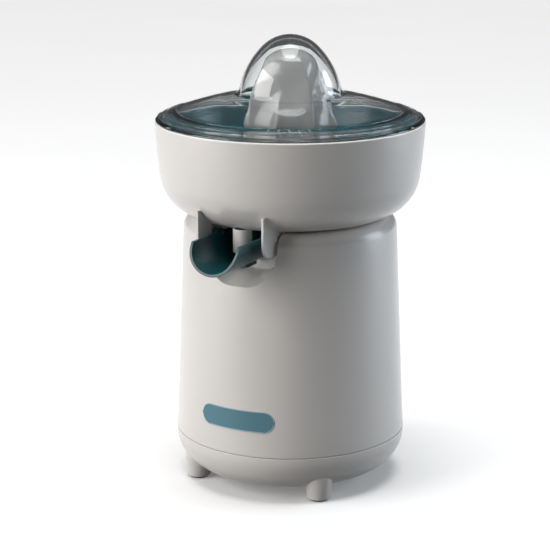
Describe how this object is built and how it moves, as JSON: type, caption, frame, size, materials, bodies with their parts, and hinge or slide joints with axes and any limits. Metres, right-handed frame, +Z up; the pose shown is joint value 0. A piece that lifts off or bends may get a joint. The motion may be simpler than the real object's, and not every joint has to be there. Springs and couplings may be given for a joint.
{
  "type": "electric citrus press",
  "caption": "Electric citrus press with a tapered round body, white bowl with tilting spout, slotted strainer, ribbed reaming cone and clear domed lid.",
  "frame": {"origin": "on the vertical axis of the spindle, at table level under the feet", "axes": "+Z up along the spindle; front, where the spout is, towards -Y; +X to the right seen from the front"},
  "size_m": [0.1806, 0.1973, 0.302],
  "materials": {
    "white": "semi-gloss moulded",
    "teal": "semi-gloss moulded",
    "clear": "clear polished plastic",
    "reamer": "semi-gloss moulded",
    "badge": "gloss moulded",
    "pad": "matt",
    "dark_rubber": "matt",
    "steel": "turned",
    "lamination": "stacked sheet",
    "copper": "enamelled winding wire",
    "bronze": "sintered",
    "gear_plastic": "moulded acetal",
    "black_plastic": "moulded"
  },
  "bodies": {
    "housing": {"body_shell": "white", "base_cover": "white", "foot_pads": "pad", "badge": "badge", "base_screws": "steel", "cord_gland": "dark_rubber", "gear_plate": "black_plastic", "gear_cover": "black_plastic", "gear_screws": "steel", "spindle_bushes": "bronze", "spindle_seal": "dark_rubber", "idler_axle": "steel", "return_spring": "steel", "spring_bridge": "black_plastic", "micro_switch": "black_plastic", "stator_core": "lamination", "motor_coil": "copper", "upper_bracket": "steel", "lower_bracket": "steel", "motor_bushes": "bronze", "motor_bolts": "steel", "motor_posts": "steel"},
    "cup": {"thrust_cup": "gear_plastic"},
    "plunger": {"switch_plunger": "gear_plastic"},
    "spindle": {"drive_spindle": "steel", "output_gear": "gear_plastic"},
    "idler": {"idler_gear": "gear_plastic"},
    "rotor": {"rotor_core": "lamination", "motor_shaft": "steel", "motor_pinion": "gear_plastic", "cooling_fan": "black_plastic"},
    "bowl": {"bowl": "white", "spout_pins": "steel"},
    "spout": {"spout": "teal"},
    "strainer": {"strainer": "teal"},
    "lid": {"lid": "clear"},
    "cone": {"cone": "reamer"}
  },
  "joints": [
    {"name": "bowl_lift", "type": "slide", "parent": "housing", "child": "bowl", "axis": [0, 0, 1], "range_m": [0, 0.06]},
    {"name": "strainer_lift", "type": "slide", "parent": "bowl", "child": "strainer", "axis": [0, 0, 1], "range_m": [0, 0.03]},
    {"name": "lid_lift", "type": "slide", "parent": "strainer", "child": "lid", "axis": [0, 0, 1], "range_m": [0, 0.09]},
    {"name": "spout_tilt", "type": "hinge", "parent": "bowl", "child": "spout", "pos_m": [0, -0.063, 0.179], "axis": [-1, 0, 0], "range_deg": [0, 20]},
    {"name": "spindle_press", "type": "slide", "parent": "housing", "child": "cup", "axis": [0, 0, -1], "range_m": [0, 0.0025], "stiffness_N_per_m": 1200, "springref_m": -0.005, "deforming": ["return_spring"]},
    {"name": "plunger_travel", "type": "slide", "parent": "housing", "child": "plunger", "axis": [0, 0, -1], "range_m": [0, 0.0025]},
    {"name": "spindle_spin", "type": "hinge", "parent": "cup", "child": "spindle", "pos_m": [0, 0, 0.14], "axis": [0, 0, 1], "continuous": true},
    {"name": "idler_spin", "type": "hinge", "parent": "housing", "child": "idler", "pos_m": [0, 0.035, 0.14], "axis": [0, 0, 1], "continuous": true},
    {"name": "rotor_spin", "type": "hinge", "parent": "housing", "child": "rotor", "pos_m": [-0.02036, 0.01464, 0.1], "axis": [0, 0, 1], "continuous": true},
    {"name": "cone_lift", "type": "slide", "parent": "spindle", "child": "cone", "axis": [0, 0, 1], "range_m": [0, 0.09]}
  ],
  "couplings": [
    {"joint": "strainer_lift", "follows": "bowl_lift", "ratio": 0.5},
    {"joint": "cone_lift", "follows": "bowl_lift", "ratio": 1.5},
    {"joint": "plunger_travel", "follows": "spindle_press", "ratio": 1},
    {"joint": "idler_spin", "follows": "spindle_spin", "ratio": -4},
    {"joint": "rotor_spin", "follows": "spindle_spin", "ratio": 20}
  ]
}
